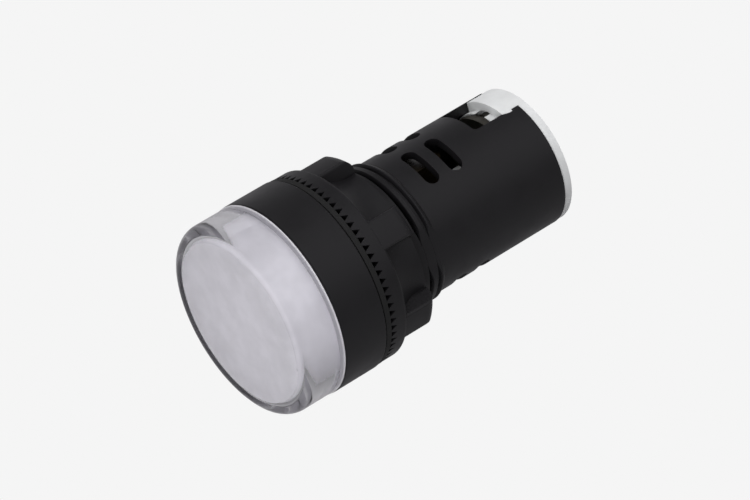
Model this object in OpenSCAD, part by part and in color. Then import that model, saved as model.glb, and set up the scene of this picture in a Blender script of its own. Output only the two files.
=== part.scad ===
// Panel pilot light for a 22 mm panel hole.
// A black moulded housing carries a clear lens in front, two wire terminals at the
// rear and the lamp electronics inside. A toothed, lugged nut clamps it to the panel.
//
// Millimetres. The lamp's axis is Y: the lens faces -Y and the terminals face +Y.
// The origin lies on the axis, in the rear face of the bezel, where the panel seats.

/* [Overall] */
// Diameter of the body behind the panel
body_d = 20.6; // [19.8:0.1:28]
// Length of the housing behind the panel seat
body_l = 35.4; // [34.6:0.1:60]
// Wall of the body
wall = 1.3; // [0.9:0.05:1.6]
// How far the bezel stands out past the body, on the radius
bezel_overhang = 4.2; // [3.8:0.1:8]
// Length of the bezel in front of the panel
bezel_l = 7.2; // [6:0.1:12]
// Wall of the bezel round the lamp chamber
bezel_wall = 1.2; // [0.8:0.1:1.6]
// Thickness of the bezel's rear wall
bezel_floor_t = 2; // [1.2:0.1:3]
// Chamfer on the bezel's rear edge
bezel_chamfer = 0.2; // [0.1:0.1:0.8]

/* [Lens and diffuser] */
// How far the lens stands in front of the bezel
lens_l = 7.4; // [5:0.1:14]
// Outer corner radius of the lens
lens_corner_r = 2.4; // [1:0.1:3]
// Thickness of the lens front
lens_front_t = 1.4; // [0.8:0.1:2]
// Thickness of the lens side wall
lens_wall = 1.9; // [1.4:0.1:2.4]
// Depth of the lens skirt inside the bezel
lens_skirt_l = 2.2; // [1:0.1:2.4]
// Step by which the lens is smaller than the bezel, on the radius
lens_step = 0.15; // [0.05:0.05:0.5]
// Thickness of the milky diffuser cup
diffuser_t = 0.9; // [0.6:0.1:1.4]
// Corner radius of the diffuser cup
diffuser_corner_r = 0.6; // [0.6:0.1:2.5]

/* [Lamp electronics] */
// Number of light-emitting diodes
led_count = 6; // [3:1:8]
// Diameter of a diode's dome
led_d = 4.8; // [3:0.1:5]
// Height of a diode above its board
led_h = 5; // [4:0.1:5.5]
// Thickness of the round lamp board
lamp_board_t = 1.2; // [0.8:0.1:1.6]
// Thickness of the long power board
power_board_t = 1.6; // [1:0.1:1.8]
// Diameter of the leads of the small components
lead_d = 0.6; // [0.4:0.05:0.8]

/* [Cooling slots] */
// Width of a slot along the axis
vent_w = 2.25; // [1.5:0.05:3]
// Angle that a slot spans
vent_arc = 38.7; // [20:0.1:42]
// Angle of the web between the two slots of a row
vent_web = 12.6; // [8:0.1:20]
// Distance of the first row from the panel seat
vent_first = 17.5; // [16.6:0.1:18.1]
// Distance between the two rows
vent_pitch = 4.1; // [3.6:0.1:4.6]

/* [Terminal end] */
// Width of the wire notches in the housing
notch_w = 8.2; // [7.6:0.1:9.4]
// Length of the wire notches, from the housing's rear end
notch_l = 7.8; // [7:0.1:8.4]
// Corner radius of the wire notches
notch_r = 0.6; // [0.2:0.1:1.2]
// Thickness of the terminal block's end disc
cap_t = 1.3; // [1:0.1:3]
// Length of the terminal block's key in the notch
key_l = 2.8; // [2.2:0.1:3.1]
// Length of the terminal block's spigot in the body
spigot_l = 3.9; // [3.2:0.1:4.2]
// How far the catch on a key reaches into the housing
catch_h = 0.33; // [0.15:0.01:0.5]
// Diameter of a screw well
well_d = 7.4; // [7.2:0.1:8]
// Diameter of a terminal screw's thread
screw_d = 3.5; // [2.5:0.1:4]
// Diameter of a terminal screw's head
screw_head_d = 6.4; // [5:0.1:6.8]
// Height of a terminal screw's head
screw_head_h = 2.2; // [1.6:0.1:2.4]
// Length of a terminal screw under its head
screw_l = 6; // [4.6:0.1:6.2]
// Diameter of a clamp washer across its rounded sides
washer_d = 7; // [6:0.1:7.1]
// Width of a clamp washer across its flats
washer_w = 5.8; // [5:0.1:6.4]
// Thickness of a clamp washer
washer_t = 0.9; // [0.5:0.1:1.2]
// Thickness of a contact plate
plate_t = 1; // [0.8:0.1:1.2]
// Distance from a contact plate to the end of the housing
plate_depth = 4; // [3.8:0.1:4.4]

/* [Thread, gasket and nut] */
// Height of the thread above the body
thread_h = 0.45; // [0.3:0.05:0.6]
// Depth of the thread below the body
thread_depth = 0.45; // [0.2:0.05:0.5]
// Length of the threaded barrel behind the panel seat
thread_l = 12; // [10:0.1:13]
// Width of the two smooth lands that interrupt the thread
land_w = 3.2; // [1:0.1:6]
// Thickness of the rubber gasket
gasket_t = 0.8; // [0.5:0.1:2]
// Length of the nut over its teeth
nut_l = 8.2; // [7.4:0.1:10.8]
// Wall of the nut at the deepest point of the cove
nut_wall = 0.95; // [0.8:0.05:1.3]
// Thickness of the nut's flange behind the teeth
nut_flange_t = 1.95; // [1.5:0.05:3]
// Number of teeth on the nut
tooth_count = 72; // [36:6:90]
// Height of a tooth
tooth_h = 1.05; // [0.6:0.05:1.6]
// Width of the toothed rim, on the radius
tooth_rim_w = 1.9; // [1:0.1:2.4]
// Number of grip lugs on the nut
lug_count = 6; // [4:1:8]
// Width of a lug
lug_w = 4.4; // [3:0.1:6]
// Radius of a lug's rear corner
lug_r = 1.8; // [0.5:0.1:2.2]
// Radius of the cove between the flange and the rear of the nut
scoop_r = 6.4; // [5.6:0.1:12]
// Angle at which the nut has come to rest
nut_angle = -2.25; // [-30:0.05:30]

/* [Hidden] */
$fn = 96;

// Clearances
fit = 0.1;            // between fixed pieces that slot together
slide = 0.2;          // between loose pieces
cut = 1;              // how far a cutter runs past a face

// Radii
body_r = body_d / 2;
bore_r = body_r - wall;
head_r = body_r + bezel_overhang;
chamber_r = head_r - bezel_wall;
lens_r = head_r - lens_step;
lens_bore_r = lens_r - lens_wall;
diffuser_r = lens_bore_r - slide;
thread_r = body_r + thread_h;
thread_root_r = body_r - thread_depth;
lamp_board_r = chamber_r - 0.4;
cap_r = body_r - fit;

// Places along the axis, from the panel seat towards the rear
bezel_front = -bezel_l;
lens_front = bezel_front - lens_l;
chamber_floor = -bezel_floor_t;
lamp_board_front = chamber_floor - lamp_board_t;
diffuser_front = lens_front + lens_front_t + slide;
power_board_front = chamber_floor;
notch_front = body_l - notch_l;
key_front = body_l - key_l;
spigot_front = body_l - spigot_l;
plate_rear = body_l - plate_depth;
plate_front = plate_rear - plate_t;
web_front = plate_front - 2.6;
power_board_rear = web_front - 0.5;

// Electronics
power_board_half_w = bore_r - 0.3;
board_face = power_board_t / 2;
rail_gap = 0.15;
rail_h = 1;
rail_depth = 0.8;
led_ring_r = lamp_board_r - led_d / 2 - 2.3;
led_flange_h = 0.8;
led_flange_w = 0.35;
lead_foot = 0.2;

// Terminals
well_offset = bore_r - well_d / 2;
web_half_t = 0.75;
rail_x = well_d / 2;
rail_w = 1.7;
rail_top = 5;
slot_clearance = 0.05;
leg_t = 0.8;
leg_gap = 0.05;
leg_w = 4;
leg_overlap = 3;
key_half_w = notch_w / 2 - fit;
catch_l = 1.2;
catch_land = 0.6;
catch_rear = 1.2;
drive_slot_w = 0.9;
drive_slot_depth = 1.1;
drive_cross_l = 3.6;
shank_clearance = 0.1;

// Nut
nut_bore_r = thread_r + fit;
nut_flange_r = head_r - 0.15;
lug_top_r = nut_flange_r - 0.05;
gasket_outer_r = head_r - 0.1;
gasket_inner_r = thread_r + 0.15;
nut_front = gasket_t;
flange_front = nut_front + tooth_h;
flange_rear = flange_front + nut_flange_t;
nut_rear = nut_front + nut_l;
nut_edge = 0.4;
tooth_land = 0.3;
scoop_floor_r = nut_bore_r + nut_wall;
scoop_place = nut_rear - 1;

// Turns the lamp's axis from Z, in which the pieces are drawn, onto Y.
module on_axis() {
    rotate([-90, 0, 0]) children();
}

// Turns a piece drawn along +X to an angle from the top, as seen from the lens.
module at_angle(angle) {
    rotate([0, 0, angle - 90]) children();
}

// Places a piece on the side of terminal 1, at the top, or 2, at the bottom.
module terminal_side(number) {
    at_angle(number == 1 ? 0 : 180) children();
}

// A ring or disc between two places along the axis.
module ring(outer_r, inner_r, from, to) {
    translate([0, 0, from]) difference() {
        cylinder(r = outer_r, h = to - from);
        if (inner_r > 0)
            translate([0, 0, -cut]) cylinder(r = inner_r, h = to - from + 2 * cut);
    }
}

// A rectangle from the axis out to r, with a rounded or plain outer corner at each end.
module half_section(r, from, to, front_r = 0, rear_r = 0) {
    difference() {
        translate([0, from]) square([r, to - from]);
        if (front_r > 0) corner_cut(r, from, front_r, 1);
        if (rear_r > 0) corner_cut(r, to, rear_r, -1);
    }
}

// What a rounding removes from an outer corner; side is 1 at the front and -1 at the rear.
module corner_cut(r, place, round_r, side) {
    translate([r - round_r, place + side * round_r]) difference() {
        translate([0, side > 0 ? -round_r - cut : 0]) square([round_r + cut, round_r + cut]);
        circle(r = round_r);
    }
}

// A rectangle with rounded corners, centred on X and running from y = 0 to length.
module rounded_rectangle(width, length, r) {
    half = width / 2;
    translate([-half + r, 0]) square([width - 2 * r, length]);
    translate([-half, r]) square([width, length - 2 * r]);
    for (x = [-half + r, half - r], y = [r, length - r])
        translate([x, y]) circle(r = r, $fn = 48);
}

// ---- Housing -----------------------------------------------------------------------

module housing() {
    color([0.13, 0.13, 0.14]) on_axis() union() {
        difference() {
            rotate_extrude() housing_section();
            for (side = [0, 180], row = [0, 1], half = [-1, 1])
                vent_slot(side + half * (vent_arc + vent_web) / 2, vent_first + row * vent_pitch);
            for (number = [1, 2])
                terminal_side(number) wire_notch();
            thread_relief();
        }
        board_rails();
    }
}

// The bezel, the chamber in front and the tube behind, as one turned section.
module housing_section() {
    difference() {
        union() {
            half_section(body_r, chamber_floor, body_l);
            half_section(head_r, bezel_front, 0, front_r = 0.3);
        }
        translate([0, bezel_front - cut]) square([chamber_r, bezel_l - bezel_floor_t + cut]);
        translate([0, chamber_floor - cut]) square([bore_r, body_l + bezel_floor_t + 2 * cut]);
        translate([head_r, 0]) rotate(45)
            square([bezel_chamfer * 2, bezel_chamfer * sqrt(2)], center = true);
    }
}

// What is taken off the barrel down to the root of its thread, beside the two lands.
module thread_relief() {
    linear_extrude(height = thread_l) difference() {
        circle(r = body_r + fit);
        circle(r = thread_root_r);
        square([2 * body_d, land_w], center = true);
    }
}

// One cooling slot: it runs across the axis and has round ends.
module vent_slot(angle, place) {
    end_r = vent_w / 2;
    half_span = body_r * sin(vent_arc / 2) - end_r;
    depth = bore_r * cos(vent_arc / 2) - cut;
    at_angle(angle) rotate([90, 0, 90]) translate([0, place, depth])
        linear_extrude(height = body_r + cut - depth) {
            square([2 * half_span, vent_w], center = true);
            for (x = [-half_span, half_span]) translate([x, 0]) circle(r = end_r, $fn = 48);
        }
}

// The notch through which a wire reaches its terminal. It is drawn flat, with the axis
// along Y, and cut outwards through the wall.
module wire_notch() {
    rotate([90, 0, 90]) translate([0, notch_front, bore_r - 2 * cut])
        linear_extrude(height = wall + 4 * cut) {
            rounded_rectangle(notch_w, notch_l + notch_r + cut, notch_r);
            translate([0, -notch_front]) key_catches(notch_w / 2, catch_h);
        }
}

// The ramps on both sides of a notch or key, which snap the terminal block in.
module key_catches(half_w, h) {
    step = body_l - catch_rear;
    for (side = [0, 1]) mirror([side, 0])
        polygon([
            [half_w - 0.5, step - catch_land - catch_l],
            [half_w, step - catch_land - catch_l],
            [half_w + h, step - catch_land],
            [half_w + h, step],
            [half_w - 0.5, step]
        ]);
}

// Rails on the bore, two a side, between which the power board slides in.
module board_rails() {
    inner_x = power_board_half_w - rail_depth;
    low = board_face + rail_gap;
    linear_extrude(height = power_board_rear)
        intersection() {
            circle(r = bore_r + wall / 2);
            for (sx = [0, 1], sy = [0, 1]) mirror([sx, 0]) mirror([0, sy])
                translate([inner_x, low]) square([body_r, rail_h]);
        }
}

// ---- Lens and diffuser -----------------------------------------------------------------

module lens() {
    color([0.9, 0.93, 0.95, 0.45]) on_axis() rotate_extrude() difference() {
        union() {
            half_section(lens_r, lens_front, bezel_front, front_r = lens_corner_r);
            half_section(chamber_r - fit, bezel_front - cut, bezel_front + lens_skirt_l);
        }
        half_section(lens_bore_r, lens_front + lens_front_t, bezel_front + lens_skirt_l + cut,
                     front_r = diffuser_corner_r);
    }
}

module diffuser() {
    color([0.94, 0.94, 0.95]) on_axis() rotate_extrude() difference() {
        half_section(diffuser_r, diffuser_front, lamp_board_front, front_r = diffuser_corner_r);
        half_section(diffuser_r - diffuser_t, diffuser_front + diffuser_t,
                     lamp_board_front + cut, front_r = diffuser_corner_r - diffuser_t / 2);
    }
}

// ---- Lamp electronics --------------------------------------------------------------------

module lamp_board() {
    color([0.92, 0.92, 0.9]) on_axis() ring(lamp_board_r, 0, lamp_board_front, chamber_floor);
}

// One diode: a flange on the board and a clear dome that faces the lens.
module led(number) {
    dome_r = led_d / 2;
    color([0.95, 0.9, 0.75]) on_axis() at_angle(number * 360 / led_count)
        translate([led_ring_r, 0, lamp_board_front]) rotate([180, 0, 0]) {
            cylinder(r = dome_r + led_flange_w, h = led_flange_h);
            cylinder(r = dome_r, h = led_h - dome_r);
            translate([0, 0, led_h - dome_r]) sphere(r = dome_r);
        }
}

// Two bent pins in a plastic strip, which join the boards.
module pin_header() {
    pin = 0.64;
    pitch = 2.54;
    strip_from = 1;
    strip_l = 2.5;
    pin_run = 0.6;
    color([0.1, 0.1, 0.1]) on_axis() translate([0, -board_face, 0]) {
        translate([-pitch, -pitch, strip_from]) cube([2 * pitch, pitch, strip_l]);
        for (x = [-pitch / 2, pitch / 2]) translate([x - pin / 2, 0, 0]) {
            translate([0, -pitch / 2 - pin / 2, power_board_front])
                cube([pin, pin, strip_from - power_board_front + strip_l + pin_run + pin]);
            translate([0, -pitch / 2 - pin / 2, strip_from + strip_l + pin_run])
                cube([pin, pitch / 2 + pin / 2, pin]);
        }
    }
}

module power_board() {
    color([0.36, 0.42, 0.2]) on_axis()
        translate([-power_board_half_w, -board_face, power_board_front])
            cube([2 * power_board_half_w, power_board_t, power_board_rear - power_board_front]);
}

// Stands a component on the board: side 1 is the top, -1 the bottom. The component is
// drawn with its foot in the plane y = 0, rising along +Y, and its length along Z.
module on_board(side, x, place) {
    translate([x, -side * board_face, place]) mirror([0, side > 0 ? 1 : 0, 0]) children();
}

// A component with a lead at each end that bends down to the board.
module axial_component(d, l, span) {
    height = d / 2 + lead_foot;
    translate([0, height, -l / 2]) cylinder(d = d, h = l);
    translate([0, height, -span / 2]) cylinder(d = lead_d, h = span, $fn = 24);
    for (end = [-1, 1]) translate([0, 0, end * span / 2]) {
        rotate([-90, 0, 0]) cylinder(d = lead_d, h = height, $fn = 24);
        translate([0, height, 0]) sphere(d = lead_d, $fn = 24);
    }
}

// A dipped film capacitor, standing on two leads.
module dropper_capacitor() {
    width = 6;
    length = 11;
    height = 6.8;
    color([0.45, 0.33, 0.14]) on_axis() on_board(1, 0, vent_first + vent_pitch / 2 - 2.2) {
        translate([0, lead_foot, -length / 2]) rotate([-90, 0, 0]) mirror([0, 1, 0])
            linear_extrude(height = height) rounded_rectangle(width, length, 2.2);
        for (z = [-4.5, 4.5]) translate([0, 0, z])
            rotate([-90, 0, 0]) cylinder(d = lead_d, h = lead_foot + 1, $fn = 24);
    }
}

// A small electrolytic can, lying on the board, with its crimp and its two leads.
module smoothing_capacitor() {
    can_d = 6.3;
    can_l = 11;
    lead_l = 1.6;
    color([0.12, 0.15, 0.3]) on_axis() on_board(-1, -2, vent_first - 5.5) {
        translate([0, can_d / 2 + lead_foot / 2, -can_l / 2]) rotate_extrude() difference() {
            half_section(can_d / 2, 0, can_l, front_r = 0.4, rear_r = 0.4);
            translate([can_d / 2 + 0.5, 1.6]) circle(r = 0.8, $fn = 32);
        }
        for (x = [-1.25, 1.25]) translate([x, 0, -can_l / 2]) {
            translate([0, can_d / 2, -lead_l]) cylinder(d = lead_d, h = lead_l + 0.5, $fn = 24);
            translate([0, can_d / 2, -lead_l]) sphere(d = lead_d, $fn = 24);
            translate([0, 0, -lead_l]) rotate([-90, 0, 0])
                cylinder(d = lead_d, h = can_d / 2, $fn = 24);
        }
    }
}

// A flat rectifier with two short legs on each long side.
module bridge_rectifier() {
    body = [5, 2.6, 6.5];
    leg = [0.8, 0.3, 0.9];
    reach = 0.9;
    color([0.14, 0.14, 0.15]) on_axis() on_board(1, 0, 8.3) {
        translate([-body.x / 2, lead_foot, -body.z / 2]) cube(body);
        for (side = [0, 1], z = [-2, 2]) mirror([side, 0, 0]) {
            translate([body.x / 2 - 0.1, 1.1, z - leg.z / 2]) cube([reach, leg.y, leg.z]);
            translate([body.x / 2 + reach - leg.y - 0.1, 0, z - leg.z / 2])
                cube([leg.y, 1.3, leg.z]);
        }
    }
}

module bleeder_resistor() {
    color([0.75, 0.65, 0.48]) on_axis() on_board(1, 5.6, vent_first) axial_component(2.3, 6, 9);
}

module series_resistor() {
    color([0.45, 0.5, 0.6]) on_axis() on_board(-1, 4.4, vent_first - 5.9)
        axial_component(3.2, 8.5, 11.5);
}

module zener_diode() {
    color([0.8, 0.45, 0.25]) on_axis() on_board(-1, 4.6, vent_first + vent_pitch)
        axial_component(1.9, 3.8, 6.4);
}

// ---- Terminals -----------------------------------------------------------------------------

// The white moulding that closes the rear: an end disc, a spigot in the bore, a key in
// each notch, and a web with rails that hold the two contact plates apart.
module terminal_block() {
    color([0.93, 0.93, 0.9]) on_axis() difference() {
        union() {
            ring(cap_r, 0, body_l, body_l + cap_t);
            translate([0, 0, spigot_front]) linear_extrude(height = spigot_l + cut)
                intersection() {
                    circle(r = bore_r - fit);
                    square([2 * (rail_x + rail_w), 2 * body_r], center = true);
                }
            for (number = [1, 2]) terminal_side(number) block_key();
            plate_holder();
        }
        for (number = [1, 2]) terminal_side(number)
            translate([well_offset, 0, spigot_front - cut])
                cylinder(d = well_d, h = spigot_l + cap_t + 2 * cut);
    }
}

// A key that fills the rear of a notch, flush with the body, with its catches.
module block_key() {
    intersection() {
        rotate([90, 0, 90]) translate([0, 0, well_offset]) linear_extrude(height = body_r)
            difference() {
                union() {
                    translate([-key_half_w, key_front])
                        square([2 * key_half_w, key_l + cut / 2]);
                    key_catches(key_half_w, catch_h);
                }
                translate([-body_r, 0]) square([2 * body_r, key_front]);
            }
        cylinder(r = cap_r, h = 2 * body_l);
    }
}

// The web between the terminals, and four rails with a slot for the plates' edges.
module plate_holder() {
    length = spigot_front - web_front + cut / 2;
    translate([-rail_x - rail_w, -web_half_t, web_front])
        cube([2 * (rail_x + rail_w), 2 * web_half_t, length]);
    for (sx = [0, 1], sy = [0, 1]) mirror([sx, 0, 0]) mirror([0, sy, 0]) difference() {
        translate([rail_x, 0, plate_front - plate_t])
            cube([rail_w, rail_top, spigot_front - plate_front + plate_t + cut / 2]);
        translate([rail_x - cut, web_half_t, plate_front - slot_clearance])
            cube([rail_w / 2 + cut + slot_clearance, rail_top, plate_t + 2 * slot_clearance]);
    }
}

// A bent contact: a plate across the axis with the screw's thread in it, and a leg that
// runs forward onto the power board.
module contact_plate(number) {
    leg_x = board_face + leg_gap;
    color([0.85, 0.75, 0.45]) on_axis() terminal_side(number) {
        translate([0, 0, plate_front]) linear_extrude(height = plate_t) difference() {
            intersection() {
                circle(r = bore_r - 3 * fit);
                union() {
                    translate([leg_x, -rail_x - rail_w / 2])
                        square([rail_top - leg_x, 2 * rail_x + rail_w]);
                    translate([leg_x, -rail_x + slide])
                        square([body_r, 2 * (rail_x - slide)]);
                }
            }
            translate([well_offset, 0]) circle(r = screw_d / 2 + shank_clearance);
        }
        translate([leg_x, -leg_w / 2, power_board_rear - leg_overlap])
            cube([leg_t, leg_w, plate_rear - power_board_rear + leg_overlap]);
    }
}

// A clamp washer with two flats, which presses the wire onto the contact plate.
module clamp_washer(number) {
    color([0.78, 0.78, 0.76]) on_axis() terminal_side(number)
        translate([well_offset, 0, plate_rear]) linear_extrude(height = washer_t)
            difference() {
                intersection() {
                    circle(d = washer_d);
                    square([washer_w, washer_d], center = true);
                }
                circle(r = screw_d / 2 + shank_clearance);
            }
}

// A pan-head screw with a slot and a short cross slot.
module terminal_screw(number) {
    head_front = plate_rear + washer_t;
    color([0.8, 0.8, 0.78]) on_axis() terminal_side(number)
        translate([well_offset, 0, 0]) difference() {
            union() {
                translate([0, 0, head_front - screw_l]) cylinder(d = screw_d, h = screw_l + 0.5);
                rotate_extrude()
                    half_section(screw_head_d / 2, head_front, head_front + screw_head_h,
                                 rear_r = screw_head_h / 2);
            }
            translate([0, 0, head_front + screw_head_h]) {
                cube([screw_head_d + cut, drive_slot_w, 2 * drive_slot_depth], center = true);
                cube([drive_slot_w, drive_cross_l, 2 * drive_slot_depth], center = true);
            }
        }
}

// ---- Gasket and nut --------------------------------------------------------------------------

module gasket() {
    color([0.07, 0.07, 0.07]) on_axis() ring(gasket_outer_r, gasket_inner_r, 0, gasket_t);
}

// The clamping nut: a flange with a crown of teeth, and lugs with scoops between them.
module panel_nut() {
    color([0.11, 0.11, 0.12]) on_axis() rotate([0, 0, nut_angle]) {
        difference() {
            union() {
                rotate_extrude() nut_section();
                for (i = [0:lug_count - 1]) at_angle(i * 360 / lug_count) nut_lug();
            }
            for (i = [0:tooth_count - 1]) at_angle((i + 0.5) * 360 / tooth_count) tooth_gap();
        }
    }
}

// The turned part of the nut: rim, flange, and a hub that sinks behind it in a cove.
module nut_section() {
    difference() {
        union() {
            half_section(nut_flange_r, nut_front, flange_rear, rear_r = 0.6);
            half_section(nut_flange_r - 0.6, flange_rear - cut, nut_rear);
        }
        translate([scoop_floor_r + scoop_r, scoop_place]) intersection() {
            circle(r = scoop_r);
            translate([-2 * scoop_r, flange_rear - scoop_place])
                square([2 * scoop_r, nut_rear]);
        }
        translate([0, -cut]) square([nut_bore_r, nut_rear + 2 * cut]);
        translate([0, nut_front - cut]) square([nut_flange_r - tooth_rim_w, tooth_h + cut]);
        translate([nut_bore_r, nut_rear]) rotate(45)
            square(nut_edge * sqrt(2), center = true);
    }
}

// A grip lug: flat sides, rounded edges and a rounded rear corner.
module nut_lug() {
    edge_r = 0.6;
    intersection() {
        translate([0, 0, flange_rear - 0.6]) linear_extrude(height = nut_rear) rotate(-90)
            translate([0, nut_bore_r + nut_wall / 2])
                rounded_rectangle(lug_w, lug_top_r - nut_bore_r - nut_wall / 2, edge_r);
        rotate_extrude() half_section(lug_top_r, 0, nut_rear, rear_r = lug_r);
    }
}

// The V between two teeth, cut in from the front of the rim.
module tooth_gap() {
    half_w = (nut_flange_r * 360 / tooth_count * PI / 180 - tooth_land) / 2;
    translate([nut_flange_r - tooth_rim_w - cut, 0, nut_front]) rotate([90, 0, 90])
        linear_extrude(height = tooth_rim_w + 2 * cut)
            polygon([[-half_w, -0.001], [half_w, -0.001], [0, tooth_h]]);
}

housing();
lens();
diffuser();
lamp_board();
for (i = [1:led_count]) led(i);
pin_header();
power_board();
dropper_capacitor();
smoothing_capacitor();
bridge_rectifier();
bleeder_resistor();
series_resistor();
zener_diode();
terminal_block();
for (i = [1, 2]) contact_plate(i);
for (i = [1, 2]) clamp_washer(i);
for (i = [1, 2]) terminal_screw(i);
gasket();
panel_nut();
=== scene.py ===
"""Panel pilot light: finishes, threads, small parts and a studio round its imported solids.

Everything is in metres, in the frame of the solids: the lamp's axis is Y, with the lens
towards -Y and the terminals towards +Y, and +Z is up. The origin lies on the axis where
the panel seats. Angles round the axis are counted from the top (+Z) towards +X.
"""

import math

import bmesh
import bpy
import numpy as np
from bpy.props import FloatProperty, FloatVectorProperty, PointerProperty
from mathutils import Matrix, Vector


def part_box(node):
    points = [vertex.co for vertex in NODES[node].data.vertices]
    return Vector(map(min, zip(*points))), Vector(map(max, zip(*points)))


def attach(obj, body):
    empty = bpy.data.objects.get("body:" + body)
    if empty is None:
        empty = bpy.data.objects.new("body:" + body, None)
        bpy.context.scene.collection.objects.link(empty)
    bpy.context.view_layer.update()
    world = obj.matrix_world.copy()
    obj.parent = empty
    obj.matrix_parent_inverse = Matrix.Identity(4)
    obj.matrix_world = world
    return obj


bl_info = {
    "name": "Panel Pilot Light",
    "version": (1, 0, 0),
    "blender": (4, 5, 0),
    "location": "3D View > Sidebar > Pilot Light",
    "description": "Threads, finishes and a studio for a panel pilot light",
    "category": "Object",
}

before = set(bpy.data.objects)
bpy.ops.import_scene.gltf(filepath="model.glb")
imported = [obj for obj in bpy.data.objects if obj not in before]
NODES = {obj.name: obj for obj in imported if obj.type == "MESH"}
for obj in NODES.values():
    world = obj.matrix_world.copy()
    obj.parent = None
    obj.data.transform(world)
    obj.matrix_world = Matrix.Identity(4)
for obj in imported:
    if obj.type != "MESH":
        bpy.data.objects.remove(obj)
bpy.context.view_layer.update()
MM = 0.001
FULL_TURN = 2 * math.pi

# Points closer together than this become one.
MERGE_DISTANCE = 1e-8
# Depth of a thread's base inside the barrel or the nut.
THREAD_SUNK = 0.06 * MM
# Bevel of a thread's crest, and the most that it may be as a share of the thread's height.
CREST_BEVEL, MOST_BEVEL = 0.06 * MM, 0.2
# Angle over which a thread rises at each of its ends.
END_EASE = math.radians(25)

# Most of a noise texture's values lie between these two.
NOISE_LOW, NOISE_HIGH = 0.3, 0.7
# How much a noise texture's finer layers count.
NOISE_ROUGHNESS = 0.55
# A colour Mix node's sockets, which share their names with its other sockets.
MIX_AMOUNT, MIX_FIRST, MIX_SECOND, MIX_RESULT = 0, 6, 7, 2
# Place of the last stop of a banded component's colour ramp.
LAST_STOP = 0.985
# Width of the camera's sensor in millimetres.
SENSOR_WIDTH = 36

# Colours in linear light that a user has no need to change.
SOFT_BLACK = (0.012, 0.012, 0.012)
# Lead metal kept dark as painted shade: the shade inside the barrel, seen through the vents.
LEAD_METAL_PAINTED_SHADE = (0.07, 0.068, 0.06)
CAN_LEAD = (0.52, 0.51, 0.48)
SLEEVE_BLUE = (0.006, 0.009, 0.03)
SLEEVE_STRIPE = (0.25, 0.27, 0.32)
BLACK = (0.004, 0.004, 0.004)
CATHODE_BLACK = (0.005, 0.005, 0.005)
BROWN = (0.03, 0.012, 0.004)
RED = (0.4, 0.02, 0.01)
ORANGE = (0.35, 0.18, 0.01)
GOLD = (0.3, 0.2, 0.05)
LIGHT_TINT = (1.0, 0.985, 1.02, 1)


# ---- What a user would change ------------------------------------------------------------


class PilotLightSizes(bpy.types.PropertyGroup):
    """Sizes of the threads and small parts that are added to the solids."""

    thread_pitch: FloatProperty(
        name="Barrel thread pitch",
        description="Distance between two turns of the thread on the barrel",
        default=1.5 * MM, min=0.5 * MM, unit="LENGTH", precision=5,
    )
    thread_start: FloatProperty(
        name="Barrel thread start",
        description="Place along the axis of the middle of the thread's first turn",
        default=0.75 * MM, unit="LENGTH", precision=5,
    )
    thread_end: FloatProperty(
        name="Barrel thread end",
        description="Place along the axis of the middle of the thread's last turn",
        default=13.5 * MM, unit="LENGTH", precision=5,
    )
    thread_root: FloatProperty(
        name="Barrel thread root",
        description="Radius of the barrel between the turns of its thread",
        default=9.85 * MM, min=5 * MM, unit="LENGTH", precision=5,
    )
    thread_crest: FloatProperty(
        name="Barrel thread crest",
        description="Radius over the turns of the thread on the barrel",
        default=10.75 * MM, min=5 * MM, unit="LENGTH", precision=5,
    )
    thread_flat: FloatProperty(
        name="Barrel thread flat",
        description="Width of the flat on top of a turn",
        default=0.8 * MM, min=0.1 * MM, unit="LENGTH", precision=5,
    )
    body_radius: FloatProperty(
        name="Body radius",
        description="Radius of the smooth body behind the thread and of the two lands",
        default=10.3 * MM, min=5 * MM, unit="LENGTH", precision=5,
    )
    land_angle: FloatProperty(
        name="Land angle",
        description="Angle of each of the two lands, where the thread sinks into the body",
        default=math.radians(17), min=0, subtype="ANGLE",
    )
    flank_angle: FloatProperty(
        name="Flank angle",
        description="Lean of a thread's flanks from the radius",
        default=math.radians(26), min=0, subtype="ANGLE",
    )
    nut_bore: FloatProperty(
        name="Nut bore",
        description="Radius of the nut's bore between the turns of its thread",
        default=10.85 * MM, min=5 * MM, unit="LENGTH", precision=5,
    )
    nut_crest: FloatProperty(
        name="Nut thread crest",
        description="Radius inside the turns of the nut's thread",
        default=10.42 * MM, min=5 * MM, unit="LENGTH", precision=5,
    )
    screw_pitch: FloatProperty(
        name="Screw thread pitch",
        description="Distance between two turns of a terminal screw's thread",
        default=0.6 * MM, min=0.2 * MM, unit="LENGTH", precision=5,
    )
    screw_shank: FloatProperty(
        name="Screw shank radius",
        description="Radius of a terminal screw's shank under its thread",
        default=1.75 * MM, min=0.5 * MM, unit="LENGTH", precision=5,
    )
    lead: FloatProperty(
        name="Lead diameter",
        description="Diameter of the leads of the small components",
        default=0.6 * MM, min=0.2 * MM, unit="LENGTH", precision=5,
    )


class PilotLightColours(bpy.types.PropertyGroup):
    """Colours of the lamp's materials, in linear light."""

    body: FloatVectorProperty(
        name="Housing and nut", description="Black of the moulded housing and nut",
        default=(0.0078, 0.0074, 0.0084), size=3, min=0, max=1, subtype="COLOR",
    )
    lens: FloatVectorProperty(
        name="Lens", description="Tint of the clear lens",
        default=(0.965, 0.965, 0.985), size=3, min=0, max=1, subtype="COLOR",
    )
    diffuser: FloatVectorProperty(
        name="Diffuser", description="Colour of the milky cup behind the lens",
        default=(0.80, 0.785, 0.83), size=3, min=0, max=1, subtype="COLOR",
    )
    terminal: FloatVectorProperty(
        name="Terminal block", description="White of the moulding that closes the rear",
        default=(0.70, 0.71, 0.71), size=3, min=0, max=1, subtype="COLOR",
    )
    floor: FloatVectorProperty(
        name="Floor", description="Pale colour of the floor and the background",
        default=(0.913, 0.913, 0.913), size=3, min=0, max=1, subtype="COLOR",
    )


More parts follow.
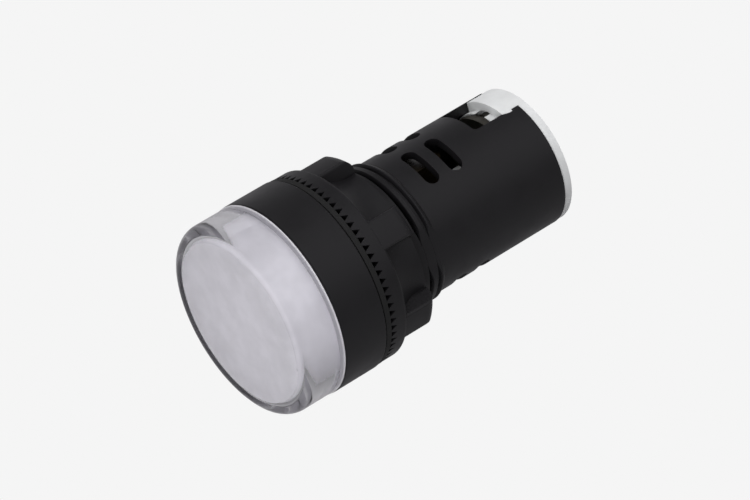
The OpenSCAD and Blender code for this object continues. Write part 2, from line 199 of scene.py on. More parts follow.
class PilotLightStudio(bpy.types.PropertyGroup):
    """Camera and lights."""

    azimuth: FloatProperty(
        name="Camera azimuth", description="Angle of the camera round the vertical",
        default=math.radians(60.26), subtype="ANGLE",
    )
    elevation: FloatProperty(
        name="Camera elevation", description="Angle of the camera above the horizon",
        default=math.radians(26.25), subtype="ANGLE",
    )
    roll: FloatProperty(
        name="Camera roll", description="Turn of the camera about its line of sight",
        default=math.radians(-16.62), subtype="ANGLE",
    )
    distance: FloatProperty(
        name="Camera distance", description="Distance from the camera to its aim",
        default=569.66 * MM, min=0.05, unit="LENGTH",
    )
    aim: FloatVectorProperty(
        name="Camera aim", description="Point at the middle of the view",
        default=(-0.429 * MM, 9.76 * MM, -1.227 * MM), size=3, subtype="TRANSLATION",
    )
    focal_length: FloatProperty(
        name="Focal length", description="Focal length on a sensor 36 mm wide",
        default=200, min=10, unit="CAMERA",
    )
    ambient: FloatProperty(
        name="Ambient light", description="Brightness of the even light from all round",
        default=0.14, min=0,
    )
    wall_glow: FloatProperty(
        name="Pale walls", description="Brightness of the pale walls to the left and below",
        default=0.12, min=0,
    )
    sky: FloatProperty(
        name="Soft panel", description="Brightness of the wide soft panel over the terminals",
        default=0.42, min=0,
    )
    key: FloatProperty(
        name="Top light", description="Power of the soft box above the lamp",
        default=2.0, min=0, unit="POWER",
    )
    fill: FloatProperty(
        name="Front light", description="Power of the soft box in front of the lens",
        default=3.3, min=0, unit="POWER",
    )
    floor_depth: FloatProperty(
        name="Floor depth", description="Distance from the lamp's axis down to the floor",
        default=0.6, min=0.05, unit="LENGTH",
    )


# ---- Surfaces ------------------------------------------------------------------------------


def smooth_step(x):
    """0 below 0 and 1 above 1, with the curve 3x squared minus 2x cubed between."""
    x = np.clip(x, 0, 1)
    return x * x * (3 - 2 * x)


def grid_faces(rows, columns, closed=False):
    """Corner numbers of the quads of a grid whose points are stored row after row.

    Each row is a loop, and when the grid is closed the last row joins the first too.
    """
    row = np.arange(rows if closed else rows - 1)[:, None]
    column = np.arange(columns)[None, :]
    after, below = (column + 1) % columns, (row + 1) % rows
    corners = [row * columns + column, row * columns + after,
               below * columns + after, below * columns + column]
    return np.stack([c.ravel() for c in corners], 1).tolist()


def mesh_object(name, points, faces, smooth=True):
    """An object from an array of points and a list of faces, each a list of corners."""
    mesh = bpy.data.meshes.new(name)
    mesh.from_pydata(points.reshape(-1, 3).tolist(), [], faces)
    mesh.polygons.foreach_set("use_smooth", np.full(len(mesh.polygons), smooth))
    mesh.update()
    piece = bpy.data.objects.new(name, mesh)
    bpy.context.scene.collection.objects.link(piece)
    return piece


def closed_tube(name, rings):
    """A closed skin over rings of points, shaped (ring, point, xyz), with capped ends."""
    count, around = rings.shape[:2]
    last = (count - 1) * around
    caps = [list(range(around))[::-1], list(range(last, last + around))]
    return mesh_object(name, rings, grid_faces(count, around) + caps)


def revolved(name, profile, around):
    """A closed ring: each (radius, y) of a closed profile carried round the lamp's axis.

    At angle a the point lies at x = radius * sin(a) and z = radius * cos(a).
    """
    angle = np.linspace(0, FULL_TURN, around, endpoint=False)[:, None]
    radius, along = np.asarray(profile).T
    x, z = radius * np.sin(angle), radius * np.cos(angle)
    points = np.stack([x, np.broadcast_to(along, x.shape), z], -1)
    return mesh_object(name, points, grid_faces(around, len(radius), closed=True))


def rectangle(inner, outer, front, rear):
    """The profile of a ring with a rectangular section, as corners of (radius, y)."""
    return [(inner, front), (outer, front), (outer, rear), (inner, rear)]


def helix_ridge(section, pitch, start, turns, steps_per_turn, centre=(0, 0)):
    """Rings of points for a ridge that winds round a line along Y.

    section(angle) gives, for each angle, the ridge's outline as a list of (radius, offset
    along the axis). At angle a the outline's middle stands at y = start + pitch * a / (2 pi),
    and its points lie at x = radius * sin(a) and z = radius * cos(a) from the centre.
    """
    angle = np.linspace(0, FULL_TURN * turns, int(steps_per_turn * turns) + 1)
    radius, offset = np.moveaxis(section(angle), -1, 0)
    along = start + pitch * angle[:, None] / FULL_TURN + offset
    x = centre[0] + radius * np.sin(angle)[:, None]
    z = centre[1] + radius * np.cos(angle)[:, None]
    return np.stack([x, along, z], -1)


def ridge_outline(base, root, crest, flat, flank):
    """The outline of a thread ridge, from its base inside the wall out over its crest.

    Between root and crest the flanks lean by the flank angle, so each is as wide as its
    height times the tangent of that angle. The crest's corners are cut by a small bevel.
    """
    height, lean = abs(crest - root), math.tan(flank)
    bevel = min(CREST_BEVEL, height * MOST_BEVEL)
    foot = flat / 2 + height * lean
    below = crest - math.copysign(bevel, crest - root)
    half = [(base, foot), (root, foot), (below, flat / 2 + bevel * lean),
            (crest, flat / 2 - bevel)]
    return np.array(half + [(radius, -offset) for radius, offset in half[::-1]])


def ends_eased(total):
    """A function of the angle that rises from 0 to 1 and falls to 0 again at the two ends."""

    def eased(angle):
        return smooth_step(angle / END_EASE) * smooth_step((total - angle) / END_EASE)

    return eased


def rising(outline, turns):
    """A section for helix_ridge: the outline's radii times the eased share of their height.

    At each end of the ridge all radii sink to the base, so the ridge grows out of the wall.
    """
    eased = ends_eased(FULL_TURN * turns)
    base = outline[0, 0]
    height = outline[None, :, 0] - base

    def section(angle):
        radius = base + height * eased(angle)[:, None]
        return np.stack([radius, np.broadcast_to(outline[:, 1], radius.shape)], -1)

    return section


def facing_out(piece):
    """Merges the doubles of a closed skin and turns its faces outwards."""
    work = bmesh.new()
    work.from_mesh(piece.data)
    bmesh.ops.remove_doubles(work, verts=work.verts, dist=MERGE_DISTANCE)
    bmesh.ops.recalc_face_normals(work, faces=work.faces)
    work.to_mesh(piece.data)
    work.free()
    return piece


def sharp_over(piece, degrees):
    """Keeps the edges sharper than an angle crisp in a smoothly shaded piece."""
    piece.data.set_sharp_from_angle(angle=math.radians(degrees))
    return piece


# ---- Materials -----------------------------------------------------------------------------


class NodeWork:
    """A node tree being built, with short ways to add nodes and to feed their sockets."""

    def __init__(self, tree):
        self.tree = tree

    def node(self, kind, **settings):
        """A new node with its settings."""
        made = self.tree.nodes.new(kind)
        for key, value in settings.items():
            setattr(made, key, value)
        return made

    def feed(self, socket, value):
        """Links the value into the socket when it is a socket too, and sets it otherwise."""
        if isinstance(value, bpy.types.NodeSocket):
            self.tree.links.new(value, socket)
        else:
            socket.default_value = value

    def put(self, node, **values):
        """Feeds input sockets by name, with _ for a space."""
        for key, value in values.items():
            self.feed(node.inputs[key.replace("_", " ")], value)
        return node

    def math(self, operation, first, second=0.0):
        """One sum on two numbers or sockets."""
        made = self.node("ShaderNodeMath", operation=operation)
        self.feed(made.inputs[0], first)
        self.feed(made.inputs[1], second)
        return made.outputs[0]

    def dot(self, first, second):
        """The dot product of two directions."""
        made = self.node("ShaderNodeVectorMath", operation="DOT_PRODUCT")
        self.feed(made.inputs[0], first)
        self.feed(made.inputs[1], second)
        return made.outputs["Value"]

    def spread(self, value, low, high, start=NOISE_LOW, end=NOISE_HIGH, **settings):
        """Carries value from start..end to low..high."""
        made = self.node("ShaderNodeMapRange", **settings)
        self.put(made, Value=value, From_Min=start, From_Max=end, To_Min=low, To_Max=high)
        return made.outputs["Result"]


class Shade(NodeWork):
    """A material being built round its Principled shader."""

    def __init__(self, name):
        self.material = bpy.data.materials.new(name)
        self.material.use_nodes = True
        super().__init__(self.material.node_tree)
        self.shader = self.tree.nodes["Principled BSDF"]
        self.place = self.node("ShaderNodeTexCoord").outputs["Object"]

    def axes(self):
        """The place's three coordinates."""
        split = self.put(self.node("ShaderNodeSeparateXYZ"), Vector=self.place)
        return [split.outputs[axis] for axis in "XYZ"]

    def noise(self, size, detail, stretch=None):
        """Noise whose features measure about size metres, as a 0 to 1 socket."""
        place = self.place
        if stretch:
            mapping = self.put(self.node("ShaderNodeMapping"), Vector=place, Scale=stretch)
            place = mapping.outputs["Vector"]
        noise = self.put(self.node("ShaderNodeTexNoise"), Vector=place, Scale=1 / size,
                         Detail=detail, Roughness=NOISE_ROUGHNESS)
        return noise.outputs["Fac"]

    def blend(self, amount, first, second):
        """A colour mix: first where amount is 0 and second where it is 1."""
        made = self.node("ShaderNodeMix", data_type="RGBA")
        self.feed(made.inputs[MIX_AMOUNT], amount)
        for number, colour in ((MIX_FIRST, first), (MIX_SECOND, second)):
            linked = isinstance(colour, bpy.types.NodeSocket)
            self.feed(made.inputs[number], colour if linked else (*colour, 1))
        return made.outputs[MIX_RESULT]

    def clouded(self, clouds, first, second, most=1.0):
        """Two colours in clouds, with at most that share of the second."""
        return self.blend(self.spread(clouds, 0.0, most), first, second)

    def bump(self, height, distance, strength, **over):
        """A normal that follows a height, over the true normal or another one."""
        made = self.node("ShaderNodeBump")
        self.put(made, Height=height, Distance=distance, Strength=strength, **over)
        return made.outputs["Normal"]

    def edge_mask(self, bevelled):
        """How far a bevelled normal leaves the true one: 0 on a face, up to 1 on an edge.

        The dot product of the two is 1 on a face, and 0.8 or less counts as a full edge.
        """
        true = self.node("ShaderNodeNewGeometry").outputs["Normal"]
        return self.spread(self.dot(bevelled, true), 1.0, 0.0, start=0.8, end=0.99)

    def finish(self, **values):
        """Feeds the shader's own sockets and hands over the material."""
        self.put(self.shader, **values)
        return self.material


def tinted(colour, factor):
    """A colour made darker or paler."""
    return tuple(c * factor for c in colour)


def moulded_black(name, colour, grain):
    """Satin black plastic: a fine moulded grain, faint clouds and edges a little worn."""
    s = Shade(name)
    dark, pale, worn = (tinted(colour, factor) for factor in (0.86, 1.16, 2.6))
    clouds = s.noise(3.2 * MM, detail=2.0)
    edge = s.put(s.node("ShaderNodeBevel", samples=4), Radius=0.1 * MM).outputs["Normal"]
    rubbed = s.spread(s.noise(0.5 * MM, detail=3.0), 0.0, 1.0, start=0.52, end=0.75)
    wear = s.math("MULTIPLY", s.edge_mask(edge), rubbed)
    shade = s.blend(wear, s.clouded(clouds, dark, pale), worn)
    rough = s.spread(clouds, 0.42, 0.52)
    normal = s.bump(s.noise(grain, detail=2.0), 0.006 * MM, 0.5, Normal=edge)
    return s.finish(Base_Color=shade, Roughness=rough, Normal=normal)


def plain(name, colour, roughness, grain=0.2 * MM, relief=0.004 * MM):
    """A moulded or coated surface: slight clouds in its colour and a fine relief."""
    s = Shade(name)
    clouds = s.noise(2.4 * MM, detail=2.0)
    shade = s.clouded(clouds, tinted(colour, 0.93), tinted(colour, 1.03))
    rough = s.spread(clouds, roughness * 0.9, roughness * 1.1)
    normal = s.bump(s.noise(grain, detail=2.0), relief, 0.6)
    return s.finish(Base_Color=shade, Roughness=rough, Normal=normal)


def plated(name, colour, roughness):
    """Plated metal with fine scratches along one way and duller patches."""
    s = Shade(name)
    clouds = s.noise(1.1 * MM, detail=3.0)
    shade = s.clouded(clouds, tinted(colour, 0.78), colour)
    scratches = s.noise(0.25 * MM, detail=3.0, stretch=(0.12, 1.0, 1.0))
    rough = s.spread(clouds, roughness * 0.8, roughness * 1.35)
    normal = s.bump(scratches, 0.004 * MM, 0.7)
    return s.finish(Base_Color=shade, Roughness=rough, Normal=normal, Metallic=1.0)


def lens_clear(colour):
    """Clear plastic with a faint waviness."""
    s = Shade("lens_clear_plastic")
    normal = s.bump(s.noise(6 * MM, detail=1.0), 0.012 * MM, 0.4)
    return s.finish(Base_Color=(*colour, 1), Roughness=0.02, IOR=1.45,
                    Transmission_Weight=1.0, Normal=normal)


def axial_component(name, node, half_body, colour, bands):
    """A coated component with coloured bands across its body and two leads whose dark metal is
    painted shade, along Y.

    The place along the node's box, 0 at its front end and 1 at its rear end, picks the
    colour; each band is its middle, its width and its colour. What lies further than
    half_body from the middle of the box is a lead.
    """
    s = Shade(name)
    low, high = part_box(node)
    place = s.axes()[1]
    ramp = s.node("ShaderNodeValToRGB")
    ramp.color_ramp.interpolation = "CONSTANT"
    stops = ramp.color_ramp.elements
    stops[0].position, stops[0].color = 0.0, (*colour, 1)
    stops[1].position, stops[1].color = LAST_STOP, (*colour, 1)
    for along, width, band in bands:
        stops.new(along - width / 2).color = (*band, 1)
        stops.new(along + width / 2).color = (*colour, 1)
    s.put(ramp, Fac=s.spread(place, 0.0, 1.0, low.y, high.y))
    clouds = s.noise(1.5 * MM, detail=2.0)
    shade = s.clouded(clouds, ramp.outputs["Color"], tinted(colour, 0.6), most=0.25)
    away = s.math("ABSOLUTE", s.math("SUBTRACT", place, (low.y + high.y) / 2))
    lead = s.math("GREATER_THAN", away, half_body)
    normal = s.bump(s.noise(0.2 * MM, detail=2.0), 0.006 * MM, 0.6)
    # The leads' dark metal is painted shade, much darker than bright tin.
    return s.finish(Base_Color=s.blend(lead, shade, LEAD_METAL_PAINTED_SHADE), Metallic=lead,
                    Roughness=0.32, Normal=normal)


def can_sleeve(node):
    """The sleeve of the small can: dark blue with a pale stripe down its lower side.

    The stripe covers the places whose direction from the can's own middle line lies
    within a narrow angle; the leads in front of the can are tinned metal.
    """
    can_length, stripe_middle, stripe_half = 11.0 * MM, 2.2, 0.28
    s = Shade("capacitor_sleeve")
    low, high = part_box(node)
    x, y, z = s.axes()
    across = s.math("SUBTRACT", x, (low.x + high.x) / 2)
    up = s.math("SUBTRACT", z, (low.z + high.z) / 2)
    off = s.math("SUBTRACT", s.math("ARCTAN2", across, up), stripe_middle)
    stripe = s.math("LESS_THAN", s.math("ABSOLUTE", off), stripe_half)
    metal = s.math("LESS_THAN", y, high.y - can_length)
    shade = s.blend(metal, s.blend(stripe, SLEEVE_BLUE, SLEEVE_STRIPE), CAN_LEAD)
    normal = s.bump(s.noise(0.6 * MM, detail=2.0), 0.01 * MM, 0.5)
    return s.finish(Base_Color=shade, Metallic=metal, Roughness=0.3, Normal=normal)


def board_mask(name, lacquer, copper, trace_width):
    """A lacquered board: wide traces under the lacquer and the weave of the laminate.

    The traces are where a noise drawn out along the board crosses a threshold.
    """
    s = Shade(name)
    wide = s.noise(trace_width, detail=0.0, stretch=(1.0, 0.35, 1.0))
    trace = s.spread(wide, 0.0, 1.0, start=0.5, end=0.515)
    weave = s.noise(0.35 * MM, detail=1.0)
    shade = s.clouded(weave, s.blend(trace, lacquer, copper), tinted(lacquer, 0.6), most=0.3)
    normal = s.bump(trace, 0.03 * MM, 0.8)
    return s.finish(Base_Color=shade, Roughness=0.3, Normal=normal)


def material_of(node):
    """The finish that a solid's object carries."""
    return NODES[node].material_slots[0].material


# ---- Operators -----------------------------------------------------------------------------


class PILOT_OT_finishes(bpy.types.Operator):
    """Gives every solid of the lamp its finish"""

    bl_idname = "pilot.finishes"
    bl_label = "Finishes"

    def execute(self, context):
        finishes = {**self.mouldings(context.scene.pilot_colours), **self.metals(),
                    **self.electronics()}
        for node, material in finishes.items():
            for slot in NODES[node].material_slots:
                slot.material = material
        # The soft boxes light the milky cup straight through the clear lens.
        NODES["lens"].visible_shadow = False
        return {"FINISHED"}

    def mouldings(self, colours):
        """Finishes of the plastic and rubber parts."""
        return {
            "housing": moulded_black("housing_black", colours.body, grain=0.11 * MM),
            "panel_nut": moulded_black("nut_black", colours.body, grain=0.13 * MM),
            "lens": lens_clear(colours.lens),
            "diffuser": plain("diffuser_milk", colours.diffuser, 0.45, relief=0.002 * MM),
            "terminal_block": plain("terminal_white", colours.terminal, 0.42),
            "gasket": plain("gasket_rubber", SOFT_BLACK, 0.75),
        }

    def metals(self):
        """Finishes of the contact plates, the clamp washers and the terminal screws."""
        kinds = {
            "contact_plate": plated("contact_tin", (0.20, 0.19, 0.165), 0.5),
            "clamp_washer": plated("clamp_nickel", (0.36, 0.35, 0.31), 0.5),
            "terminal_screw": plated("screw_nickel", (0.34, 0.33, 0.30), 0.42),
        }
        return {f"{kind}_{number}": metal for kind, metal in kinds.items()
                for number in (1, 2)}

    def electronics(self):
        """Finishes of the two boards and of what stands on them."""
        epoxy = plain("diode_epoxy", (0.85, 0.8, 0.6), 0.08)
        return {
            **{node: epoxy for node in NODES if node.startswith("led_")},
            "lamp_board": plain("lamp_board_mask", (0.8, 0.8, 0.78), 0.35),
            "power_board": board_mask("power_board_mask", lacquer=(0.012, 0.03, 0.008),
                                      copper=(0.03, 0.06, 0.015), trace_width=3.0 * MM),
            "pin_header": plain("header_black", SOFT_BLACK, 0.5),
            "bridge_rectifier": plain("rectifier_epoxy", SOFT_BLACK, 0.55),
            "smoothing_capacitor": can_sleeve("smoothing_capacitor"),
            "dropper_capacitor": plain("film_capacitor_coat", (0.014, 0.010, 0.005), 0.28,
                                       grain=1.2 * MM, relief=0.03 * MM),
            "bleeder_resistor": axial_component(
                "bleeder_bands", "bleeder_resistor", half_body=2.99 * MM,
                colour=(0.03, 0.022, 0.014),
                bands=((0.27, 0.05, BROWN), (0.39, 0.05, BLACK), (0.51, 0.05, ORANGE),
                       (0.70, 0.05, GOLD))),
            "series_resistor": axial_component(
                "series_bands", "series_resistor", half_body=4.24 * MM,
                colour=(0.055, 0.09, 0.14),
                bands=((0.25, 0.05, RED), (0.37, 0.05, RED), (0.49, 0.05, BROWN),
                       (0.72, 0.05, GOLD))),
            "zener_diode": axial_component(
                "diode_glass", "zener_diode", half_body=1.89 * MM,
                colour=(0.22, 0.05, 0.015), bands=((0.68, 0.07, CATHODE_BLACK),)),
        }


class PILOT_OT_barrel_thread(bpy.types.Operator):
    """Winds the thread round the barrel; it sinks into a smooth land on each side"""

    bl_idname = "pilot.barrel_thread"
    bl_label = "Barrel thread"

    def execute(self, context):
        sizes = context.scene.pilot_sizes
        turns = (sizes.thread_end - sizes.thread_start) / sizes.thread_pitch
        rings = helix_ridge(self.section(sizes, turns), sizes.thread_pitch,
                            sizes.thread_start, turns, steps_per_turn=180)
        piece = sharp_over(facing_out(closed_tube("barrel_thread", rings)), 25)
        piece.data.materials.append(material_of("housing"))
        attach(piece, "housing")
        return {"FINISHED"}

    def section(self, sizes, turns):
        """The ridge's outline at each angle, for helix_ridge.

        Half the crest is flat / 2 wide, and the flank widens it by height times lean.
        Near a land the crest sinks to the land's radius and the widths grow until the
        grooves close. Over the last turn the rear flank lies down into a ramp.
        """
        root, body, full = sizes.thread_root, sizes.body_radius, sizes.thread_crest
        base = root - THREAD_SUNK
        half_flat, lean = sizes.thread_flat / 2, math.tan(sizes.flank_angle)
        # The crest on a land, and the angles over which the lands and the ramp set in.
        land_crest = body + 0.02 * MM
        land_ease, ramp_ease = math.radians(15), math.radians(90)
        # Half the width of a ridge that closes its grooves, and how much wider its foot is.
        closed, fillet = 0.497 * sizes.thread_pitch, 0.04 * MM
        # Offsets of the ramp where it meets the body, the crest's bevel and the crest.
        ramp_body, ramp_bevel, ramp_crest = 0.43 * MM, -0.05 * MM, -0.17 * MM
        total = FULL_TURN * turns
        eased = ends_eased(total)

        def outline_at(angle):
            off_land = np.abs((angle - math.pi) % math.pi - math.pi / 2)
            near = smooth_step((sizes.land_angle / 2 + land_ease - off_land) / land_ease)
            crest = full - near * (full - land_crest)
            top = half_flat + (full - crest) * lean
            shoulder = half_flat + (full - body) * lean
            top, shoulder, foot = (
                wide + near * (closed - wide) for wide in (top, shoulder, shoulder + fillet))
            ramp = smooth_step((angle - total + FULL_TURN) / ramp_ease)
            corner = top - CREST_BEVEL
            points = [
                (base, foot), (root, foot),
                (body, shoulder + ramp * (ramp_body - shoulder)),
                (crest - CREST_BEVEL, top + ramp * (ramp_bevel - top)),
                (crest, corner + ramp * (ramp_crest - corner)),
                (crest, -corner), (crest - CREST_BEVEL, -top),
                (body, -shoulder), (root, -foot), (base, -foot),
            ]
            outline = np.stack([np.stack(np.broadcast_arrays(radius, offset), -1)
                                for radius, offset in points], 1)
            outline[..., 0] = base + (outline[..., 0] - base) * eased(angle)[:, None]
            return outline

        return outline_at


class PILOT_OT_nut_thread(bpy.types.Operator):
    """Winds the thread inside the nut, half a pitch off the barrel's"""

    bl_idname = "pilot.nut_thread"
    bl_label = "Nut thread"

    def execute(self, context):
        sizes = context.scene.pilot_sizes
        pitch, flat, rear_margin = sizes.thread_pitch, 0.2 * MM, 0.55 * MM
        first = sizes.thread_start + 0.5 * pitch
        turns = (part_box("panel_nut")[1].y - rear_margin - first) / pitch
        outline = ridge_outline(sizes.nut_bore + THREAD_SUNK, sizes.nut_bore,
                                sizes.nut_crest, flat, sizes.flank_angle)
        rings = helix_ridge(rising(outline, turns), pitch, first, turns, steps_per_turn=160)
        piece = sharp_over(facing_out(closed_tube("nut_thread", rings)), 25)
        piece.data.materials.append(material_of("panel_nut"))
        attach(piece, "nut")
        return {"FINISHED"}


class PILOT_OT_screw_threads(bpy.types.Operator):
    """Winds a fine thread round the shank of each terminal screw"""

    bl_idname = "pilot.screw_threads"
    bl_label = "Screw threads"

    def execute(self, context):
        sizes = context.scene.pilot_sizes
        pitch, shank = sizes.screw_pitch, sizes.screw_shank
        sunk, height, flat, flank = 0.04 * MM, 0.07 * MM, 0.08 * MM, math.radians(50)
        tip_margin, head_margin = 0.3 * MM, 2.75 * MM
        outline = ridge_outline(shank - sunk, shank, shank + height, flat, flank)
        for number in (1, 2):
            screw = f"terminal_screw_{number}"
            low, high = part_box(screw)
            start = low.y + tip_margin
            turns = (high.y - head_margin - start) / pitch
            centre = (low.x + high.x) / 2, (low.z + high.z) / 2
            rings = helix_ridge(rising(outline, turns), pitch, start, turns,
                                steps_per_turn=48, centre=centre)
            piece = sharp_over(facing_out(closed_tube(f"screw_thread_{number}", rings)), 40)
            piece.data.materials.append(material_of(screw))
            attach(piece, f"screw_{number}")
        return {"FINISHED"}


class PILOT_OT_lens_lip(bpy.types.Operator):
    """Lays the lip, pale as a painted highlight, and the two seats of the milky cup at the
    foot of the lens
    """

    bl_idname = "pilot.lens_lip"
    bl_label = "Lens lip"

    def execute(self, context):
        """Three closed profiles carried round the axis.

        The lip bites into the lens at the bezel, stands proud of it and is chamfered in
        front. The seats are rings inside the lens wall, at the bezel and at the skirt's end.
        """
        low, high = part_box("lens")
        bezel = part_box("housing")[0].y
        outer = (high.x - low.x) / 2
        bite, chamfered, proud = 0.35 * MM, 0.04 * MM, 0.1 * MM
        front, shoulder, clear = bezel - 0.16 * MM, bezel - 0.1 * MM, bezel - 0.01 * MM
        lip = [(outer - bite, front), (outer + chamfered, front), (outer + proud, shoulder),
               (outer + proud, clear), (outer - bite, clear)]
        # The lip is a real edge, but its pale colour is a painted highlight of the flange
        # catching light.
        self.hand_over(revolved("lens_lip", lip, around=192),
                       plain("lip_pale_painted_highlight", (0.60, 0.59, 0.62), 0.3))
        cup_gap, lip_gap, skirt_gap = 0.25 * MM, 0.36 * MM, 0.02 * MM
        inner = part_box("diffuser")[1].x + cup_gap
        seat = rectangle(inner, outer - lip_gap, bezel - 0.14 * MM, bezel - 0.02 * MM)
        self.hand_over(revolved("lens_seat", seat, around=128),
                       plain("seat_milk", (0.42, 0.41, 0.45), 0.5))
        rear, width, thick = high.y - skirt_gap, 0.64 * MM, 0.12 * MM
        seat = rectangle(inner, inner + width, rear - thick, rear)
        self.hand_over(revolved("lens_skirt_seat", seat, around=128),
                       plain("skirt_milk", (0.78, 0.77, 0.80), 0.5))
        return {"FINISHED"}

    def hand_over(self, piece, material):
        """Finishes a ring and makes it ride on the housing."""
        sharp_over(facing_out(piece), 40)
        piece.data.materials.append(material)
        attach(piece, "housing")


class PILOT_OT_milky_coat(bpy.types.Operator):
    """Fills the narrow gap between the milky cup and the lens"""

    bl_idname = "pilot.milky_coat"
    bl_label = "Milky coat"

    def execute(self, context):
        """A cup's profile, out over its skin and back over its lining, carried round.

        The rounded corner is a quarter circle, a little smaller on the lining: at angle t
        its point lies at radius * (sin t, 1 - cos t) from where the flat front ends.
        """
        side_gap, front_gap, depth_in_bezel = 0.17 * MM, 0.21 * MM, 1.5 * MM
        corner, thick = 0.6 * MM, 0.14 * MM
        cup_low, cup_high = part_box("diffuser")
        outer, front = cup_high.x + side_gap, cup_low.y - front_gap
        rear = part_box("housing")[0].y + depth_in_bezel
        t = np.linspace(0, np.pi / 2, 7)
        bend = np.stack([np.sin(t), 1 - np.cos(t)], 1) * corner
        skin = [[(0, front)], bend + [(outer - corner, front)], [(outer, rear)]]
        lining = [[(outer - thick, rear)],
                  bend[::-1] * (1 - thick / corner) + [(outer - corner, front + thick)],
                  [(0, front + thick)]]
        piece = revolved("milky_coat", np.vstack(skin + lining), around=128)
        piece = sharp_over(facing_out(piece), 50)
        piece.data.materials.append(material_of("diffuser"))
        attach(piece, "housing")
        return {"FINISHED"}


class PILOT_OT_solder(bpy.types.Operator):
    """Sets a solder joint round each lead, on the face of the board that it stands on"""

    bl_idname = "pilot.solder"
    bl_label = "Solder joints"

    def execute(self, context):
        lead_radius = context.scene.pilot_sizes.lead / 2
        metal = plated("solder", (0.3, 0.3, 0.29), 0.4)
        board_low, board_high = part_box("power_board")
        for node in ("bleeder_resistor", "series_resistor", "zener_diode"):
            low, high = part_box(node)
            above = (low.z + high.z) / 2 > (board_low.z + board_high.z) / 2
            face, side = (board_high.z, 1) if above else (board_low.z, -1)
            x = (low.x + high.x) / 2
            for end, y in (("front", low.y + lead_radius), ("rear", high.y - lead_radius)):
                self.joint(f"{node}_solder_{end}", (x, y, face), side, lead_radius, metal)
        return {"FINISHED"}

    def joint(self, name, foot, side, lead_radius, metal):
        """A cone with hollow flanks round a lead.

        At the share t of its height its radius is the lead's plus a little clearance
        plus spread * (1 - t) squared.
        """
        clearance, spread, height, sunk = 0.02 * MM, 0.45 * MM, 0.42 * MM, 0.02 * MM
        t = np.linspace(0, 1, 7)[:, None]
        angle = np.linspace(0, FULL_TURN, 20, endpoint=False)
        radius = lead_radius + clearance + spread * (1 - t) ** 2
        x, y = foot[0] + radius * np.cos(angle), foot[1] + radius * np.sin(angle)
        z = foot[2] + side * (t * height - sunk)
        points = np.stack([x, y, np.broadcast_to(z, x.shape)], -1)
        piece = facing_out(closed_tube(name, points))
        piece.data.materials.append(metal)
        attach(piece, "housing")


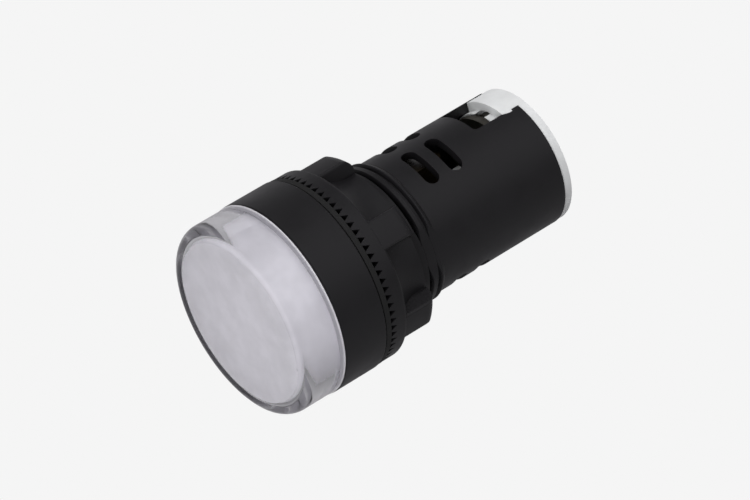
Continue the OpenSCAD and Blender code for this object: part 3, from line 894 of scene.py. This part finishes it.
class PILOT_OT_studio(bpy.types.Operator):
    """Sets up the floor, the soft light and the camera"""

    bl_idname = "pilot.studio"
    bl_label = "Studio"

    def execute(self, context):
        studio = context.scene.pilot_studio
        floor_colour = context.scene.pilot_colours.floor
        self.make_floor(studio.floor_depth, floor_colour)
        self.make_world(studio, floor_colour)
        self.make_soft_box("top_light", (0.12, 0.15, 1.0), studio.key)
        self.make_soft_box("front_light", (0.55, -0.75, 0.2), studio.fill)
        self.make_soft_box("back_light", (-0.3, 1.0, 0.25), 0.9 * studio.fill)
        self.make_camera(studio)
        view = context.scene.view_settings
        view.view_transform = "Standard"
        view.look = "None"
        view.exposure = 0
        view.gamma = 1
        return {"FINISHED"}

    def make_floor(self, depth, colour, half=3.0):
        """A square floor that glows evenly for the camera and lights nothing."""
        corners = np.array([[-half, -half, -depth], [half, -half, -depth],
                            [half, half, -depth], [-half, half, -depth]])
        floor = mesh_object("floor", corners, [[0, 1, 2, 3]], smooth=False)
        material = bpy.data.materials.new("pale_floor")
        material.use_nodes = True
        work = NodeWork(material.node_tree)
        work.tree.nodes.remove(work.tree.nodes["Principled BSDF"])
        glow = work.put(work.node("ShaderNodeEmission"), Color=(*colour, 1))
        work.put(work.tree.nodes["Material Output"], Surface=glow.outputs[0])
        floor.data.materials.append(material)
        floor.visible_diffuse = False
        floor.visible_glossy = False
        floor.visible_transmission = False
        floor.visible_shadow = False

    def make_world(self, studio, colour):
        """Light from all round: an even ambient and three wide soft lobes.

        In the direction d a lobe adds strength * s(d . p), where p points to the lobe's
        middle and s rises smoothly from 0 at its start to 1 where d meets p. What the
        camera sees directly is the plain backdrop.
        """
        walls = studio.wall_glow
        # Each lobe's direction, its start and its strength.
        lobes = (((0.67, 0.445, 0.59), 0.7, studio.sky),
                 ((-0.9, 0.4, -0.15), 0.45, 2.6 * walls),
                 ((0.3, 0.3, -0.9), 0.35, 1.1 * walls))
        world = bpy.data.worlds.new("studio")
        bpy.context.scene.world = world
        world.use_nodes = True
        work = NodeWork(world.node_tree)
        direction = work.node("ShaderNodeTexCoord").outputs["Generated"]
        strength = studio.ambient
        for towards, start, full in lobes:
            near = work.dot(direction, Vector(towards).normalized())
            lobe = work.spread(near, 0.0, full, start, 1.0, interpolation_type="SMOOTHSTEP")
            strength = work.math("ADD", lobe, strength)
        light = work.put(work.tree.nodes["Background"], Color=LIGHT_TINT, Strength=strength)
        backdrop = work.put(work.node("ShaderNodeBackground"), Color=(*colour, 1))
        pick = work.node("ShaderNodeMixShader")
        direct = work.node("ShaderNodeLightPath").outputs["Is Camera Ray"]
        for socket, value in zip(pick.inputs, (direct, light.outputs[0], backdrop.outputs[0])):
            work.feed(socket, value)
        work.put(work.tree.nodes["World Output"], Surface=pick.outputs[0])

    def make_soft_box(self, name, direction, power, distance=0.6, size=0.45):
        """A square area light that looks at the lamp and shows in no reflection."""
        data = bpy.data.lights.new(name, "AREA")
        data.shape = "SQUARE"
        data.size = size
        data.energy = power
        lamp = bpy.data.objects.new(name, data)
        towards = Vector(direction).normalized()
        lamp.location = towards * distance
        lamp.rotation_euler = towards.to_track_quat("Z", "Y").to_euler()
        lamp.visible_camera = False
        lamp.visible_glossy = False
        lamp.visible_transmission = False
        bpy.context.scene.collection.objects.link(lamp)

    def make_camera(self, studio):
        """Stands the camera back from its aim and rolls it about its line of sight.

        With azimuth a and elevation e it stands towards (sin a cos e, -cos a cos e, sin e).
        """
        a, e, roll = studio.azimuth, studio.elevation, studio.roll
        back = Vector((math.sin(a) * math.cos(e), -math.cos(a) * math.cos(e), math.sin(e)))
        level = Vector((math.cos(a), math.sin(a), 0))
        upright = back.cross(level)
        right = level * math.cos(roll) + upright * math.sin(roll)
        up = upright * math.cos(roll) - level * math.sin(roll)
        data = bpy.data.cameras.new("camera")
        data.lens = studio.focal_length
        data.sensor_width = SENSOR_WIDTH
        data.clip_start, data.clip_end = 0.01, 20
        camera = bpy.data.objects.new("camera", data)
        turn = Matrix((right, up, back)).transposed().to_4x4()
        place = Vector(studio.aim) + back * studio.distance
        camera.matrix_world = Matrix.Translation(place) @ turn
        bpy.context.scene.collection.objects.link(camera)
        bpy.context.scene.camera = camera


STEPS = (PILOT_OT_finishes, PILOT_OT_barrel_thread, PILOT_OT_nut_thread,
         PILOT_OT_screw_threads, PILOT_OT_lens_lip, PILOT_OT_milky_coat,
         PILOT_OT_solder, PILOT_OT_studio)


class PILOT_PT_sidebar(bpy.types.Panel):
    """Lists the lamp's sizes, colours and steps"""

    bl_idname = "PILOT_PT_sidebar"
    bl_label = "Panel Pilot Light"
    bl_space_type = "VIEW_3D"
    bl_region_type = "UI"
    bl_category = "Pilot Light"

    def draw(self, context):
        layout = self.layout
        for group in GROUPS:
            box = layout.box()
            owner = getattr(context.scene, group)
            for key in owner.bl_rna.properties.keys():
                if key not in ("rna_type", "name"):
                    box.prop(owner, key)
        for step in STEPS:
            layout.operator(step.bl_idname)


GROUPS = {"pilot_sizes": PilotLightSizes, "pilot_colours": PilotLightColours,
          "pilot_studio": PilotLightStudio}
CLASSES = (*GROUPS.values(), *STEPS, PILOT_PT_sidebar)


def register():
    """Registers the classes and hangs the settings on the scene."""
    for cls in CLASSES:
        bpy.utils.register_class(cls)
    for name, group in GROUPS.items():
        setattr(bpy.types.Scene, name, PointerProperty(type=group))


def unregister():
    """Takes the settings and the classes away again."""
    for name in GROUPS:
        delattr(bpy.types.Scene, name)
    for cls in reversed(CLASSES):
        bpy.utils.unregister_class(cls)


def main():
    """Registers the add-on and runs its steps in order."""
    register()
    for step in STEPS:
        group, name = step.bl_idname.split(".")
        getattr(getattr(bpy.ops, group), name)()


if __name__ == "__main__":
    main()
